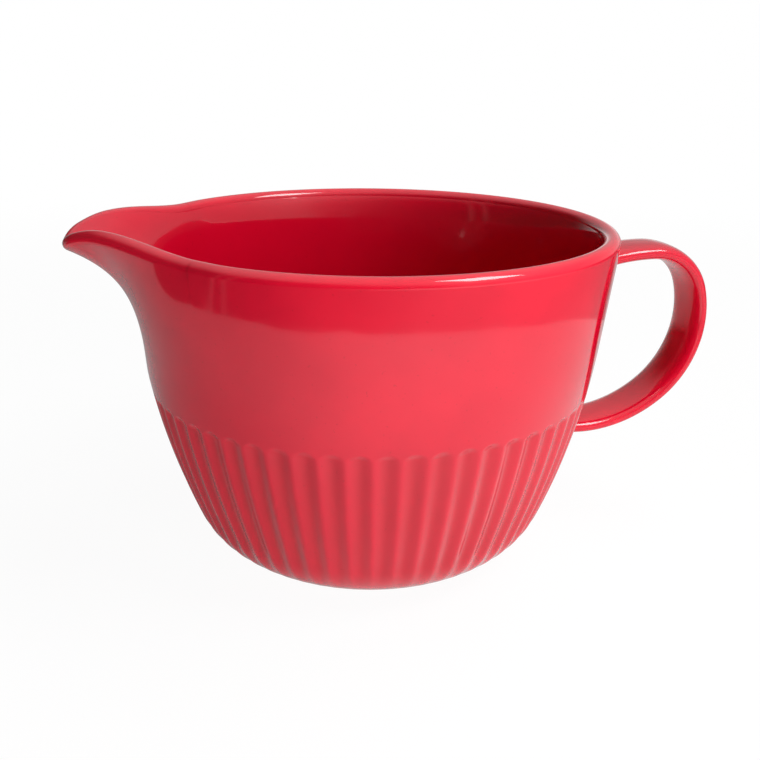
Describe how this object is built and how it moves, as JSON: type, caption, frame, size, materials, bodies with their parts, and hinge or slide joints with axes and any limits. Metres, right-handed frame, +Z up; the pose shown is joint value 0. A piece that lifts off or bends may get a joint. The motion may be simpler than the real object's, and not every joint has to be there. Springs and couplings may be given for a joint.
{
  "type": "batter bowl",
  "caption": "Red glazed ceramic batter bowl with a fluted lower side, a wide pouring spout in the rim and a strap handle.",
  "frame": {"origin": "on the bowl's axis, at the surface that it stands on", "axes": "+Z up along the bowl's axis, +X towards the handle, -X towards the spout"},
  "size_m": [0.2531, 0.1826, 0.1328],
  "materials": {
    "red_glaze": "glossy red glaze over stoneware",
    "bare_clay": "bare fired clay, fine and matt"
  },
  "bodies": {
    "root": {"bowl_body": "red_glaze", "pour_spout": "red_glaze", "foot_ring": "bare_clay", "handle": "red_glaze", "upper_handle_joint": "red_glaze", "lower_handle_joint": "red_glaze"}
  },
  "joints": []
}
